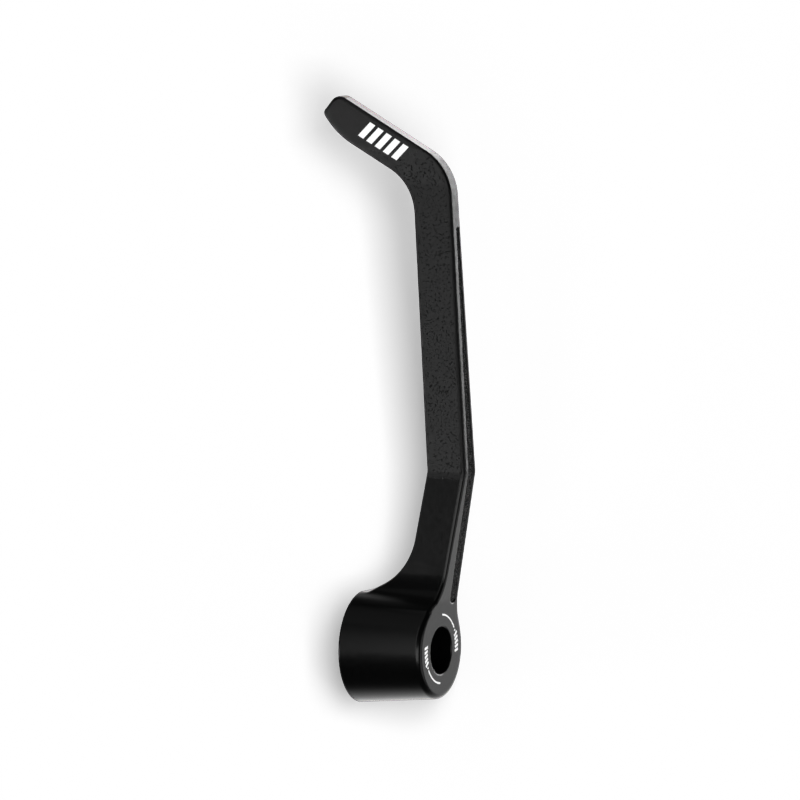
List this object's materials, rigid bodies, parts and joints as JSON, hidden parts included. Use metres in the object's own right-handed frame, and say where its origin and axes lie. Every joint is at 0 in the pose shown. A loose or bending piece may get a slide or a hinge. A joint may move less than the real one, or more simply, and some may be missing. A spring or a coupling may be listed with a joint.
{
  "type": "bar-end brake lever guard",
  "caption": "Bar-end lever guard: a tapered collar that bolts to a handlebar end, with a long slim arm and an inturned tip that shield the brake lever.",
  "frame": {"origin": "on the handlebar's axis, in the plane where the spacer's flange seats on the end of the handlebar", "axes": "+X along the handlebar's axis, outward through the collar; +Z along the arm; Y is the arm's thickness, and its broad face looks towards -Y"},
  "size_m": [0.0457, 0.0316, 0.1715],
  "materials": {
    "nylon_black": "satin black glass-filled nylon with a fine moulded grain",
    "sleeve_steel": "turned steel",
    "ink_white": "thin white printed ink",
    "spacer_aluminium": "turned aluminium with clear anodising",
    "seal_rubber": "matt black rubber",
    "acetal_natural": "natural white acetal, slightly waxy",
    "zinc_steel": "bright zinc plate",
    "spring_steel": "phosphated spring steel",
    "bolt_black": "black oxide steel"
  },
  "bodies": {
    "seat": {"bar_end_spacer": "spacer_aluminium", "spigot_o_ring": "seal_rubber", "collar_o_ring": "seal_rubber", "inner_friction_washer": "acetal_natural"},
    "guard": {"guard_moulding": "nylon_black", "sleeve_bush": "sleeve_steel", "collar_print_arcs": "ink_white", "collar_print_bars": "ink_white", "collar_print_dots": "ink_white", "tip_print": "ink_white"},
    "washers": {"outer_friction_washer": "acetal_natural", "plain_washer": "zinc_steel", "lock_washer": "spring_steel"},
    "bolt": {"clamp_bolt": "bolt_black"}
  },
  "joints": [
    {"name": "guard_swivel", "type": "hinge", "parent": "seat", "child": "guard", "pos_m": [0, 0, 0], "axis": [1, 0, 0], "continuous": true},
    {"name": "bolt_travel", "type": "slide", "parent": "seat", "child": "washers", "axis": [1, 0, 0], "range_m": [0, 0.003]},
    {"name": "bolt_turn", "type": "hinge", "parent": "washers", "child": "bolt", "pos_m": [0, 0, 0], "axis": [1, 0, 0], "range_deg": [0, 1080]}
  ],
  "couplings": [
    {"joint": "bolt_turn", "follows": "bolt_travel", "rad_per_m": 6283.2}
  ]
}
